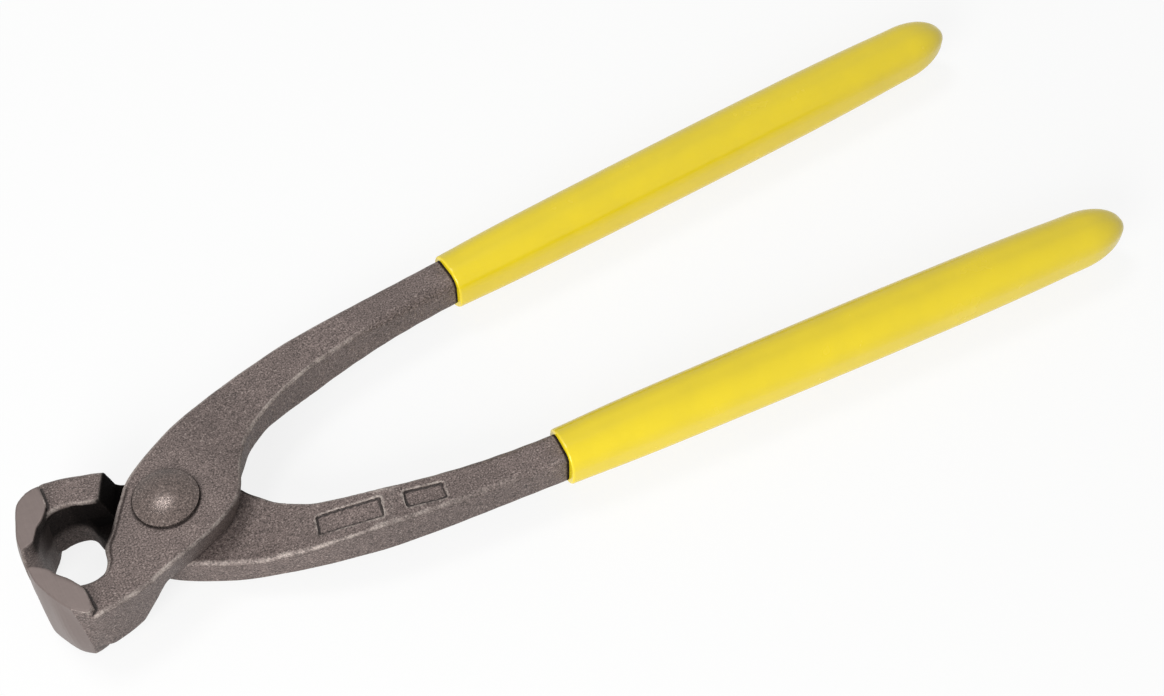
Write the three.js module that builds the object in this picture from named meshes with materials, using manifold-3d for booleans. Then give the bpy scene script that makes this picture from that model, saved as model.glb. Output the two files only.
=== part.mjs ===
// Rebar tying pliers: two identical forged levers crossed at a riveted lap joint, end-cutting jaws
// in front of the rivet and a closed plastic grip on each handle. Millimetres. +Z is up, along the
// rivet. +X runs from the jaws to the grips. The tool lies on z = 0, with its box centred on x = y = 0.
//
// One lever is drawn as it lies when the cutting edges meet: rivet axis at the origin, lap faces
// at z = 0, jaw on the -Y side, handle on the +Y side, its own lap above the other lever's.
// The second lever is the first one turned over about X.

import * as THREE from 'three';
import { mergeVertices } from 'three/addons/utils/BufferGeometryUtils.js';
import Module from 'manifold-3d';

// Stance
const restOpeningDegrees = 8.1; // angle that the levers lie open, away from edge on edge

// Lap joint and rivet
const headThickness = 16; // both laps together, and the forged part of the jaws
const lapGap = 0.3; // running gap between the two lap faces
const lapRadius = 12; // round part of the lap, from the rivet's axis to its edge
const lapEndReach = 16; // where the lap face starts to run down into the handle
const rivetShankDiameter = 9;
const rivetHeadDiameter = 13.8;
const rivetHeadHeight = 2.2;
const rivetHeadRim = 0.5; // straight rim below the dome of a head
const rivetClearance = 0.2; // round the shank and under each head

// Jaws
const edgeReach = 30.6; // rivet's axis to the cutting edges
const edgeGap = 0.2; // left between the edges when the tool is closed
const edgeLand = 0.9; // flat of the cutting edge
const jawHalfWidth = 15.6; // closed jaws, middle to outside
const throatHalfWidth = 8; // hollow behind the edges, middle to inner wall
const noseHeight = 19.6; // ground nose, across its two faces
const noseRootReach = 22.5; // where the ground nose ends on the forged bar
const noseOverlap = 0.5; // how far the bar runs on into the nose
const jawLean = 0.095; // sideways lean of the jaw's walls for each unit of height
const wallLean = 0.15; // the same for the wall where the full jaw stops

// Handles
const gripMouthReach = 78.8; // rivet's axis to the open end of a grip
const gripMouthOffset = 20.9; // closed tool, middle to the grip's axis at that end
const shoulderReach = 26; // where the handle has come down to its own thickness
const shoulderThickness = 10.4;
const neckReach = 63; // where the handle has thinned to its neck
const neckThickness = 9.4;
const neckWidth = 8.4;
const handleRunOut = 31; // where the handle's underside is fully down
const forgedFillet = 2.1; // rounding along the forged edges
const throatFillet = 0.9; // rounding along the edges of the throat
const tangEndGap = 12; // tang's end to the outside of the grip's closed end
const tangEndWidth = 7.4;
const tangEndThickness = 8;

// Grips
const gripTipReach = 221.45;
const gripTipOffset = 19.4; // closed tool, middle to the grip's axis at the tip
const gripWidth = 13.2;
const gripThickness = 14.2;
const gripFillet = 5.6;
const gripEndRound = 12.5; // length of the rounded closed end
const gripClearance = 0.3; // between tang and grip

const noseSteps = 4; // levels of the crowned nose, above and below its middle

// Overrun of every cutting solid past the body that it cuts
const overrun = 5;

// Colours
const steelColour = 0x756a66;
const rivetColour = 0x7b726d;
const gripColour = 0xe9d03c;

const wasm = await Module();
wasm.setup();

const halfHead = headThickness / 2;
const jawSpan = noseRootReach + noseOverlap - lapRadius;
const noseSpan = edgeReach - noseRootReach;
const handleSpan = gripMouthReach - lapRadius;
const outerNeck = gripMouthOffset + neckWidth / 2;
const innerNeck = gripMouthOffset - neckWidth / 2;
const gripLength = gripTipReach - gripMouthReach;
const tangEndReach = gripTipReach - tangEndGap;

// Places along X. A share of the jaw runs from the lap to the bar's end in the nose, and a share
// of the handle from the lap to the grip's mouth.
const alongLap = (share) => share * lapRadius;
const alongJaw = (share) => -(lapRadius + share * jawSpan);
const alongHandle = (share) => lapRadius + share * handleSpan;

// The lever's edge on the outside of the jaw, round the lap and along the inside of the handle,
// as shares of the sizes that it follows, at the height of the lap face.
const jawOuterShares = [
  [1, 0.987], [0.864, 1], [0.719, 1], [0.517, 0.987], [0.328, 0.965], [0.127, 0.936],
  [-0.081, 0.904],
];
const lapFrontShares = [
  [-0.675, -1.083], [-0.45, -1], [-0.225, -0.95], [-0.017, -0.908], [0.208, -0.842],
  [0.442, -0.775], [0.7, -0.658], [0.917, -0.55], [1.083, -0.425],
];
const crotchShares = [[0.037, -0.25], [0.048, -0.067]];
const handleInnerShares = [
  [0.06, 0.042], [0.088, 0.174], [0.132, 0.377], [0.184, 0.548], [0.244, 0.677], [0.295, 0.749],
  [0.365, 0.802], [0.464, 0.868], [0.612, 0.946], [0.757, 0.982], [1, 1],
];

// The lever's edge along the throat, up the back of the lap and along the outside of the handle.
const throatShares = [
  [1, 0.9], [0.9, 0.962], [0.808, 0.994], [0.7, 1.006], [0.619, 0.994], [0.509, 0.956],
  [0.418, 0.875], [0.336, 0.725], [0.269, 0.438],
];
const lapBackShares = [
  [-1.125, -0.133], [-0.992, 0.025], [-0.875, 0.175], [-0.758, 0.329], [-0.629, 0.479],
  [-0.504, 0.625], [-0.267, 0.817], [0.008, 0.979], [0.258, 1.1], [0.508, 1.217], [0.817, 1.346],
];
const handleOuterShares = [
  [0.064, 0.749], [0.171, 0.841], [0.281, 0.894], [0.406, 0.94], [0.548, 0.966], [0.69, 0.982],
  [1, 1],
];

// Lean of the outside and of the throat wall along X, as shares of the jaw's lean.
const outerLeanShares = [
  [-2, 1], [-1.58, 1], [-0.92, 2.1], [-0.67, 2.1], [0, 1.15], [0.67, 0.3], [1.2, 0], [9, 0], [18, 0],
];
const throatLeanShares = [[-2, 1], [-1.5, 1], [-1.25, 0], [1.2, 0], [9, 0], [18, 0]];

// The ground nose at its lap-side face, its middle and its other face: from the cutting edge
// round the front to the root, and back along the throat. The first share runs from the root to
// the cutting edge.
const noseLapSideShares = [
  [0.894, 0.045], [0.902, 0.212], [0.826, 0.385], [0.705, 0.59], [0.505, 0.833], [0.26, 0.942],
  [0, 1.01], [0, 0.571], [0.173, 0.462], [0.384, 0.288], [0.482, 0.167], [0.63, 0.09],
];
const noseMiddleShares = [
  [0.989, 0.045], [1.011, 0.224], [0.962, 0.417], [0.853, 0.615], [0.603, 0.859], [0.309, 0.968],
  [0, 1], [0, 0.506], [0.161, 0.41], [0.358, 0.276], [0.467, 0.16], [0.581, 0.074],
];
const noseFarSideShares = [
  [0.894, 0.045], [0.902, 0.192], [0.815, 0.378], [0.69, 0.609], [0.532, 0.808], [0.282, 0.84],
  [0, 0.846], [0, 0.449], [0.15, 0.372], [0.335, 0.263], [0.456, 0.147], [0.543, 0.058],
];

// The wall where the full jaw stops and the lap begins, from its outer to its inner end.
const lapWallShares = [[-0.8, -1.083], [-1, -0.492], [-1.4, -0.6]];

// The grip's size along its length.
const gripSizeShares = [
  [0, 0.855], [0.03, 0.875], [0.08, 0.91], [0.15, 0.941], [0.25, 0.965], [0.36, 0.984], [0.5, 1],
  [0.61, 1], [0.71, 0.992], [0.82, 0.956], [0.9, 0.91], [1, 0.89],
];

// A smooth function of x through a list of points in the order of their x.
function through(points) {
  const places = new Float32Array(points.map((point) => point[0]));
  const values = new Float32Array(points.map((point) => point[1]));
  const curve = new THREE.CubicInterpolant(places, values, 1, new Float32Array(1));
  return (x) => curve.evaluate(x)[0];
}

// Reference edges of one lever, in millimetres.
function leverEdges() {
  const tangEdge = (side) => [0.06, 0.5, 1].map((share) => {
    const x = THREE.MathUtils.lerp(gripMouthReach, tangEndReach, share);
    const width = THREE.MathUtils.lerp(neckWidth, tangEndWidth, share);
    return [x, gripAxisOffset(x) + (side * width) / 2];
  });
  const near = [
    ...jawOuterShares.map(([x, y]) => [alongJaw(x), -y * jawHalfWidth]),
    ...lapFrontShares.map(([x, y]) => [alongLap(x), y * lapRadius]),
    ...crotchShares.map(([x, y]) => [alongHandle(x), y * lapRadius]),
    ...handleInnerShares.map(([x, y]) => [alongHandle(x), y * innerNeck]),
    ...tangEdge(-1),
  ];
  const far = [
    ...throatShares.map(([x, y]) => [alongJaw(x), -y * throatHalfWidth]),
    ...lapBackShares.map(([x, y]) => [alongLap(x), y * lapRadius]),
    ...handleOuterShares.map(([x, y]) => [alongHandle(x), y * outerNeck]),
    ...tangEdge(1),
  ];
  return { near, far };
}

// Middle line of the grip and of the tang in it.
function gripAxisOffset(x) {
  const share = (x - gripMouthReach) / gripLength;
  return THREE.MathUtils.lerp(gripMouthOffset, gripTipOffset, share);
}

// Half the lever's thickness at x: full at the head, down to the shoulder, then neck and tang.
function leverHalfThickness(x) {
  const headEnd = rivetHeadDiameter / 2;
  const down = THREE.MathUtils.smoothstep(x, headEnd, shoulderReach);
  const thinning = THREE.MathUtils.smoothstep(x, shoulderReach, neckReach);
  const tang = THREE.MathUtils.clamp((x - gripMouthReach) / (tangEndReach - gripMouthReach), 0, 1);
  const handle = THREE.MathUtils.lerp(shoulderThickness, neckThickness, thinning);
  const body = THREE.MathUtils.lerp(headThickness, handle, down);
  return THREE.MathUtils.lerp(body, tangEndThickness, tang) / 2;
}

// Rounding along the lever's far side: tight in the throat, then as on the rest of the forging.
function farFillet(x) {
  const share = THREE.MathUtils.smoothstep(x, -lapRadius, 0);
  return THREE.MathUtils.lerp(throatFillet, forgedFillet, share);
}

// Closed cross-section of a bar at one x: a rectangle with rounded corners, as [y, z] pairs. Its
// two sides can lean, each by its own share of the height.
function roundedSection(section, cornerSteps) {
  const { y0, y1, z0, z1, fillet, fillet1 = fillet, lean0 = 0, lean1 = 0 } = section;
  const corners = [
    [y1, z0, -1, 1, fillet1],
    [y1, z1, -1, -1, fillet1],
    [y0, z1, 1, -1, fillet],
    [y0, z0, 1, 1, fillet],
  ];
  const loop = [];
  corners.forEach(([y, z, inY, inZ, wanted], corner) => {
    const radius = Math.min(wanted, (y1 - y0) / 2.1, (z1 - z0) / 2.1);
    for (let step = 0; step <= cornerSteps; step += 1) {
      const angle = (corner - 1 + step / cornerSteps) * (Math.PI / 2);
      const across = y + inY * radius + radius * Math.cos(angle);
      const height = z + inZ * radius + radius * Math.sin(angle);
      const lean = THREE.MathUtils.mapLinear(across, y0, y1, lean0, lean1);
      loop.push([across - lean * height, height]);
    }
  });
  return loop;
}

// Closed solid through rounded sections that stand at rising x.
function loftAlongX(sections, cornerSteps) {
  const loops = sections.map((section) => roundedSection(section, cornerSteps));
  const around = loops[0].length;
  const positions = [];
  loops.forEach((loop, index) => {
    loop.forEach(([y, z]) => positions.push(sections[index].x, y, z));
  });
  const faces = [];
  for (let ring = 0; ring < loops.length - 1; ring += 1) {
    for (let point = 0; point < around; point += 1) {
      const a = ring * around + point;
      const b = ring * around + ((point + 1) % around);
      faces.push(a, b, a + around, b, b + around, a + around);
    }
  }
  const last = (loops.length - 1) * around;
  for (let point = 1; point < around - 1; point += 1) {
    faces.push(0, point + 1, point);
    faces.push(last, last + point, last + point + 1);
  }
  const geometry = new THREE.BufferGeometry();
  geometry.setAttribute('position', new THREE.Float32BufferAttribute(positions, 3));
  geometry.setIndex(faces);
  return geometry;
}

// Places for sections: every given place, with steps between them where they lie far apart.
function placesBetween(given, longestStep) {
  const sorted = [...given].sort((a, b) => a - b);
  const shortestStep = longestStep / 12;
  const places = [sorted[0]];
  for (const place of sorted.slice(1)) {
    const previous = places[places.length - 1];
    const gap = place - previous;
    if (gap < shortestStep) continue;
    const steps = Math.ceil(gap / longestStep);
    for (let step = 1; step <= steps; step += 1) places.push(previous + (gap * step) / steps);
  }
  return places;
}

// Closed geometry to solid and back.
function toSolid(geometry) {
  const bare = new THREE.BufferGeometry();
  bare.setAttribute('position', geometry.getAttribute('position').clone());
  if (geometry.index) bare.setIndex(geometry.index.clone());
  const merged = mergeVertices(bare, overrun * 1e-5);
  return new wasm.Manifold(new wasm.Mesh({
    numProp: 3,
    vertProperties: new Float32Array(merged.getAttribute('position').array),
    triVerts: new Uint32Array(merged.index.array),
  }));
}

function toGeometry(solid) {
  const mesh = solid.getMesh();
  const geometry = new THREE.BufferGeometry();
  geometry.setAttribute('position', new THREE.BufferAttribute(mesh.vertProperties, 3));
  geometry.setIndex(new THREE.BufferAttribute(mesh.triVerts, 1));
  geometry.computeVertexNormals();
  return geometry;
}

// Closed solid through flat outlines at rising z, each with the same number of points.
function stackAlongZ(levels) {
  const around = levels[0].points.length;
  const plan = levels[0].points.map(([x, y]) => new THREE.Vector2(x, y));
  const clockwise = THREE.ShapeUtils.isClockWise(plan);
  const positions = [];
  const faces = [];
  const addFace = (a, b, c) => (clockwise ? faces.push(a, c, b) : faces.push(a, b, c));
  levels.forEach(({ z, points }) => points.forEach(([x, y]) => positions.push(x, y, z)));
  for (let level = 0; level < levels.length - 1; level += 1) {
    for (let point = 0; point < around; point += 1) {
      const a = level * around + point;
      const b = level * around + ((point + 1) % around);
      addFace(a, b, a + around);
      addFace(b, b + around, a + around);
    }
  }
  const last = (levels.length - 1) * around;
  for (const [a, b, c] of capTriangles(levels[0].points)) addFace(a, c, b);
  for (const [a, b, c] of capTriangles(levels[levels.length - 1].points)) {
    addFace(last + a, last + b, last + c);
  }
  const geometry = new THREE.BufferGeometry();
  geometry.setAttribute('position', new THREE.Float32BufferAttribute(positions, 3));
  geometry.setIndex(faces);
  return geometry;
}

// Triangles across an outline, turning the way that the outline runs.
function capTriangles(points) {
  return THREE.ShapeUtils.triangulateShape(points.map(([x, y]) => new THREE.Vector2(x, y)), []);
}

function flatShape(points) {
  return new THREE.Shape(points.map(([x, y]) => new THREE.Vector2(x, y)));
}

// Forged bar of the lever, from the root of the nose to the end of the tang.
function forgedBar() {
  const { near, far } = leverEdges();
  const nearEdge = through(near);
  const farEdge = through(far);
  const outerLean = through(outerLeanShares.map(([x, lean]) => [alongLap(x), lean * jawLean]));
  const throatLean = through(throatLeanShares.map(([x, lean]) => [alongLap(x), lean * jawLean]));
  const longestStep = neckWidth;
  const shortStep = forgedFillet * 0.75;
  const headPlaces = [...near, ...far].map((point) => point[0]).filter((x) => x < handleRunOut);
  const handlePlaces = [handleRunOut, neckReach, gripMouthReach, tangEndReach];
  const places = [
    ...placesBetween([...headPlaces, handleRunOut], shortStep).slice(0, -1),
    ...placesBetween(handlePlaces, longestStep),
  ];
  const sections = places.map((x) => ({
    x,
    y0: nearEdge(x),
    y1: farEdge(x),
    z0: -leverHalfThickness(x),
    z1: leverHalfThickness(x),
    fillet: forgedFillet,
    fillet1: farFillet(x),
    lean0: outerLean(x),
    lean1: throatLean(x),
  }));
  return toSolid(loftAlongX(sections, 3));
}

// Ground nose with the cutting edge: three outlines over each other, and a crowned wall through them.
function groundNose() {
  const half = noseHeight / 2;
  const outline = (shares) => {
    const points = shares.map(([x, y]) => [-(noseRootReach + x * noseSpan), -y * jawHalfWidth]);
    const edge = points[0][0];
    return [[edge, -edgeGap / 2], ...points, [edge + edgeLand, -edgeGap / 2]];
  };
  const lapSide = outline(noseLapSideShares);
  const middle = outline(noseMiddleShares);
  const farSide = outline(noseFarSideShares);
  const levels = [];
  for (let step = -noseSteps; step <= noseSteps; step += 1) {
    const rise = step / noseSteps;
    levels.push({
      z: rise * half,
      points: middle.map((point, index) => point.map((value, axis) => {
        const upper = lapSide[index][axis];
        const lower = farSide[index][axis];
        return value + (rise * (upper - lower)) / 2 + rise * rise * ((upper + lower) / 2 - value);
      })),
    });
  }
  return toSolid(stackAlongZ(levels));
}

// What is cut away below the lap face: up to the jaw's leaning wall, and along the handle's root.
function lapCutter() {
  const low = -halfHead - overrun;
  const high = lapGap / 2;
  const wall = lapWallShares.map(([x, y]) => [x * lapRadius, y * lapRadius]);
  const [outer, inner, corner] = wall;
  const reachOut = (outer[1] - inner[1]) / (outer[0] - inner[0]);
  const outside = -jawHalfWidth - overrun;
  const plan = [
    [outer[0] + (outside - outer[1]) / reachOut, outside],
    [handleRunOut, outside],
    [handleRunOut, outerNeck + overrun],
    [corner[0], outerNeck + overrun],
    corner,
    inner,
  ];
  const runOut = [];
  const runOutSteps = 10;
  for (let step = 0; step <= runOutSteps; step += 1) {
    const x = THREE.MathUtils.lerp(lapEndReach, handleRunOut, step / runOutSteps);
    const down = THREE.MathUtils.smoothstep(x, lapEndReach, handleRunOut);
    runOut.push([x, THREE.MathUtils.lerp(high, -leverHalfThickness(handleRunOut), down)]);
  }
  const profile = flatShape([
    [-edgeReach, low],
    [handleRunOut, low],
    ...runOut.reverse(),
    [-edgeReach, high],
  ]);
  const depth = outerNeck + jawHalfWidth + 4 * overrun;
  const swept = new THREE.ExtrudeGeometry(profile, { depth, bevelEnabled: false });
  swept.rotateX(Math.PI / 2);
  swept.translate(0, outerNeck + 2 * overrun, 0);
  const upright = new THREE.ExtrudeGeometry(flatShape(plan), {
    depth: high + overrun - low,
    bevelEnabled: false,
  });
  upright.translate(0, 0, low);
  const corners = upright.getAttribute('position');
  for (let index = 0; index < corners.count; index += 1) {
    const x = corners.getX(index);
    if (x < 0) corners.setX(index, x + wallLean * corners.getZ(index));
  }
  return toSolid(upright).intersect(toSolid(swept));
}

function rivetHole() {
  const radius = rivetShankDiameter / 2 + rivetClearance;
  const hole = new THREE.CylinderGeometry(radius, radius, headThickness + 2 * overrun, 40);
  hole.rotateX(Math.PI / 2);
  return toSolid(hole);
}

function leverGeometry() {
  const lever = forgedBar().add(groundNose()).subtract(lapCutter()).subtract(rivetHole());
  return toGeometry(lever);
}

// Rivet: shank with a domed head at each end, one piece.
function rivetGeometry() {
  const shank = rivetShankDiameter / 2;
  const head = rivetHeadDiameter / 2;
  const seat = halfHead + rivetClearance;
  const domeHeight = rivetHeadHeight - rivetHeadRim;
  const domeSteps = 6;
  const dome = [];
  for (let step = 0; step <= domeSteps; step += 1) {
    const angle = (step / domeSteps) * (Math.PI / 2);
    dome.push([head * Math.cos(angle), seat + rivetHeadRim + domeHeight * Math.sin(angle)]);
  }
  const upperHalf = [[shank, seat], [head, seat], ...dome];
  upperHalf[upperHalf.length - 1][0] = 0;
  const lowerHalf = upperHalf.map(([radius, z]) => [radius, -z]).reverse();
  const profile = [...lowerHalf, ...upperHalf].map(([radius, z]) => new THREE.Vector2(radius, z));
  const geometry = new THREE.LatheGeometry(profile, 40);
  geometry.rotateX(Math.PI / 2);
  return toGeometry(toSolid(geometry));
}

// Grip: a sleeve with a rounded closed end, bored for the tang.
function gripGeometry() {
  const size = through(gripSizeShares);
  const roundStart = 1 - gripEndRound / gripLength;
  const bodyPlaces = placesBetween([0, 0.03, 0.1, roundStart], 0.08);
  const roundShares = [0.3, 0.55, 0.75, 0.88, 0.96, 1];
  const roundPlaces = roundShares.map((share) => THREE.MathUtils.lerp(roundStart, 1, share));
  const lipShare = 0.92;
  const sections = [...bodyPlaces, ...roundPlaces].map((place) => {
    const turn = Math.max(0, (place - roundStart) / (1 - roundStart));
    const closing = place === 1 ? 0.12 : Math.sqrt(1 - turn * turn);
    const lip = place === 0 ? lipShare : 1;
    const share = size(place) * closing * lip;
    const x = THREE.MathUtils.lerp(gripMouthReach, gripTipReach, place);
    return barSection(x, gripWidth * share, gripThickness * share, gripFillet * share);
  });
  const outside = toSolid(loftAlongX(sections, 5));
  return toGeometry(outside.subtract(tangBore()));
}

// Section centred on the grip's axis.
function barSection(x, width, thickness, fillet) {
  const offset = gripAxisOffset(x);
  return {
    x,
    y0: offset - width / 2,
    y1: offset + width / 2,
    z0: -thickness / 2,
    z1: thickness / 2,
    fillet,
  };
}

function tangBore() {
  const room = 2 * gripClearance;
  const bottom = tangEndReach + gripClearance;
  const mouth = gripMouthReach - overrun;
  return toSolid(loftAlongX([
    barSection(mouth, neckWidth + room, neckThickness + room, forgedFillet),
    barSection(gripMouthReach, neckWidth + room, neckThickness + room, forgedFillet),
    barSection(bottom, tangEndWidth + room, tangEndThickness + room, forgedFillet),
  ], 3));
}

function namedMesh(name, geometry, colour, roughness, metalness) {
  const material = new THREE.MeshStandardMaterial({ color: colour, roughness, metalness });
  const mesh = new THREE.Mesh(geometry, material);
  mesh.name = name;
  return mesh;
}

// One lever with its grip, opened by half of the rest angle.
function leverWithGrip(prefix) {
  const group = new THREE.Group();
  group.add(namedMesh(`${prefix}_lever`, leverGeometry(), steelColour, 0.55, 0.8));
  group.add(namedMesh(`${prefix}_grip`, gripGeometry(), gripColour, 0.25, 0));
  group.rotation.z = THREE.MathUtils.degToRad(restOpeningDegrees / 2);
  return group;
}

const tool = new THREE.Group();
tool.add(leverWithGrip('upper'));
const turnedOver = new THREE.Group();
turnedOver.add(leverWithGrip('lower'));
turnedOver.rotation.x = Math.PI;
tool.add(turnedOver);
tool.add(namedMesh('pivot_rivet', rivetGeometry(), rivetColour, 0.45, 0.85));

// Stand the tool on z = 0 with its box centred.
const box = new THREE.Box3().setFromObject(tool);
const middle = box.getCenter(new THREE.Vector3());
tool.position.set(-middle.x, -middle.y, -box.min.z);
tool.updateMatrixWorld(true);

export default tool;
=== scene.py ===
"""Rebar tying pliers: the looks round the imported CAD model.

Two hot-forged levers cross at a riveted lap joint. Their ground noses end in cutting edges, and
each handle carries a dipped vinyl grip. Sizes of the forging are in millimetres, in the frame of
one lever as it lies when the cutting edges meet: rivet at the origin, jaw on the -Y side, handle
on the +Y side, lap face at z = 0. Everything that reaches Blender is in metres.
"""

import math

import bpy
import numpy as np
from bpy.props import FloatProperty, FloatVectorProperty, IntProperty, PointerProperty
from mathutils import Matrix, Vector


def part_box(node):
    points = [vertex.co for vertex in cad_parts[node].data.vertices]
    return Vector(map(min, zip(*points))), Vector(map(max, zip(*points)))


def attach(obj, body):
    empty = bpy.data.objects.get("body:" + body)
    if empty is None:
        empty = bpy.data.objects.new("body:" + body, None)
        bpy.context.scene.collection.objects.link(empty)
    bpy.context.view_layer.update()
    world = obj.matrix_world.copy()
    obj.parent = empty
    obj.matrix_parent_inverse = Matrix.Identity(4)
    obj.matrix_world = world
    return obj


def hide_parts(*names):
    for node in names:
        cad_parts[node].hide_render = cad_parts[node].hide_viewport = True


bl_info = {
    "name": "Rebar Tying Pliers",
    "version": (1, 0, 0),
    "blender": (4, 5, 0),
    "location": "3D View > Sidebar > Tying Pliers",
    "description": "Forged tying pliers with dipped grips, built round their CAD frame",
    "category": "Add Mesh",
}

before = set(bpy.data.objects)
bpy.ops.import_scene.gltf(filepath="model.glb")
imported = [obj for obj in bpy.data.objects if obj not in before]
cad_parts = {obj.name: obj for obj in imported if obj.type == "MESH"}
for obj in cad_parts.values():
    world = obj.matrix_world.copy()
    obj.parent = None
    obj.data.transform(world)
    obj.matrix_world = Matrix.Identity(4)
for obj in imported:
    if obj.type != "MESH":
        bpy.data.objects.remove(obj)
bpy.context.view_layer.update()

MM = 0.001
RIVET_LOW, RIVET_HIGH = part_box("pivot_rivet")
PIVOT = (RIVET_LOW + RIVET_HIGH) / 2
REST_HALF_ANGLE = math.radians(4.05)

# Lines of the forging, closed lever, mm. The near line runs along the outside of the jaw, the
# front of the lap and the inside of the handle. The far line runs along the throat, the back of
# the lap and the outside of the handle.
NEAR_LINE = [
    (-29, -13.2), (-26.2, -14.1), (-24.4, -14.8), (-23.2, -15.2), (-21.8, -15.45), (-20, -15.35),
    (-18, -15.15), (-15.6, -14.85), (-13.6, -14.5), (-11.1, -14.0), (-8.1, -13.0), (-5.4, -12.1),
    (-2.7, -11.4), (0, -10.85), (2.5, -10.2), (4.9, -9.4), (7.5, -8.45), (9.7, -7.35),
    (11.5, -5.85), (13.2, -3.8), (14.6, -1.4), (15.95, 0.55), (17.8, 2.4), (20.8, 5.2),
    (24.3, 7.75), (28.3, 9.9), (31.7, 11.3), (36.4, 12.85), (43.0, 14.35), (53.0, 15.55),
    (62.6, 16.1), (78.8, 16.3), (86.6, 16.35), (144.1, 16.15), (209.5, 15.85),
]
FAR_LINE = [
    (-29, -4.0), (-24.5, -6.3), (-23, -7.2), (-21.9, -7.7), (-20.9, -7.95), (-19.7, -8.05),
    (-18.8, -7.95), (-17.6, -7.65), (-16.6, -7.0), (-15.7, -5.8), (-14.95, -3.5), (-13.5, -1.6),
    (-11.9, 0.3), (-10.5, 2.1),
    (-9.1, 3.95), (-7.55, 5.75), (-6.05, 7.5), (-3.2, 9.9), (0.1, 12.0), (3.1, 13.5),
    (6.1, 14.85), (9.8, 16.35), (16.3, 18.8), (23.4, 21.1), (30.8, 22.45), (39.1, 23.6),
    (48.6, 24.25), (58.1, 24.65), (78.8, 25.1), (86.6, 25.0), (144.1, 24.15), (209.5, 23.25),
]
# How far the walls lean outwards with height, as shares of the draft.
OUTER_LEAN_LINE = [
    (-30, 0.9), (-23, 0.9), (-20, 1.05), (-15.6, 1.55), (-11, 1.9), (-8, 2.0), (-4, 2.3), (0, 2.3),
    (4.5, 2.35), (8, 2.2), (12, 2.2), (15, 2.2), (17, 1.5), (19, 0.5), (21, 0), (210, 0),
]
THROAT_LEAN_LINE = [(-30, 1), (-18, 1), (-15, 0), (210, 0)]
# The lap face and the ramp from it to the handle's face, by distance from the pivot.
RAMP_LINE = [
    (0, 0.15), (10, 0.15), (19.5, 0.1), (22.8, -0.6), (25.6, -1.4), (28.2, -2.0), (32, -3.0),
    (35.6, -3.7), (39.4, -4.3), (43.2, -4.95), (48, -5.7), (300, -40),
]

# Ground nose at its lap-side face, its middle and its other face: from the cutting edge round the
# front and the side to the root, and back along the throat.
NOSE_LAP_SIDE = [
    (-29.75, -0.1), (-29.75, -0.7), (-29.8, -3.3), (-29.2, -6.0), (-28.2, -9.2), (-26.6, -13.0),
    (-24.2, -15.4), (-22.7, -14.9), (-22.4, -12.0), (-22.5, -10.0), (-23.2, -8.3), (-24.1, -6.5),
    (-25.6, -4.4), (-26.4, -2.6), (-27.6, -1.3), (-28.85, -0.1),
]
NOSE_MIDDLE = [
    (-30.4, -0.1), (-30.4, -0.7), (-30.5, -3.5), (-30.0, -6.5), (-28.7, -11.3), (-25.9, -14.45),
    (-24.2, -15.0), (-22.5, -14.9), (-22.4, -11.4), (-22.6, -9.4), (-23.2, -7.7), (-24.0, -6.1),
    (-25.4, -4.3), (-26.3, -2.5), (-27.2, -1.15), (-29.6, -0.1),
]
NOSE_FAR_THROAT = [
    (-22.1, -10.2), (-22.0, -8.4), (-22.6, -6.9), (-23.8, -5.1), (-25.2, -3.8), (-26.1, -2.2),
    (-26.9, -0.9), (-28.85, -0.1),
]
LOWER_NOSE_FAR_SIDE = [
    (-29.5, -0.1), (-29.5, -0.7), (-29.55, -3.0), (-28.9, -5.9), (-27.5, -10.4), (-25.1, -12.4),
    (-23.8, -12.8), (-22.3, -12.9),
] + NOSE_FAR_THROAT
UPPER_NOSE_FAR_SIDE = [
    (-29.75, -0.1), (-29.9, -0.7), (-30.6, -3.3), (-30.0, -6.2), (-28.0, -11.0), (-25.8, -13.4),
    (-24.2, -13.4), (-22.7, -13.1),
] + NOSE_FAR_THROAT
NOSE_CORNERS = (0, 1, 5, 7, 8, 15)  # points of an outline where it turns sharply
NOSE_CREASE = 5  # the point where the ground front meets the forged side
NOSE_FLANK = (5, 6)  # the side behind the crease
NOSE_THROAT_FLANK = (11, 12)  # the side that goes on from the bar's throat
NOSE_INSIDE = 9  # the first side along the throat
NO_SIDE = len(NOSE_MIDDLE)

# The wall where the jaw ends over the other lever's lap: its outer end, its throat end and the
# end of the edge along the throat. First at the lap face, then at the lever's far face.
UPPER_WALL = (
    [(-7.5, -13.0), (-12.0, -5.9), (-16.8, -7.2)], [(-13.4, -13.0), (-14.4, -5.9), (-18.0, -7.2)],
)
LOWER_WALL = (
    [(-7.8, -13.0), (-10.4, -5.3), (-16.8, -7.2)], [(-8.9, -12.8), (-12.2, -5.5), (-18.0, -7.2)],
)
CUT_RIGHT, CUT_LOW, CUT_HIGH = 60, -30, 40  # how far the cut behind the wall reaches
CLEAR = 9.0  # a distance that no rounding reaches

# Where the grips begin.
UPPER_MOUTH = 78.8
LOWER_MOUTH = 78.2

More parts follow.
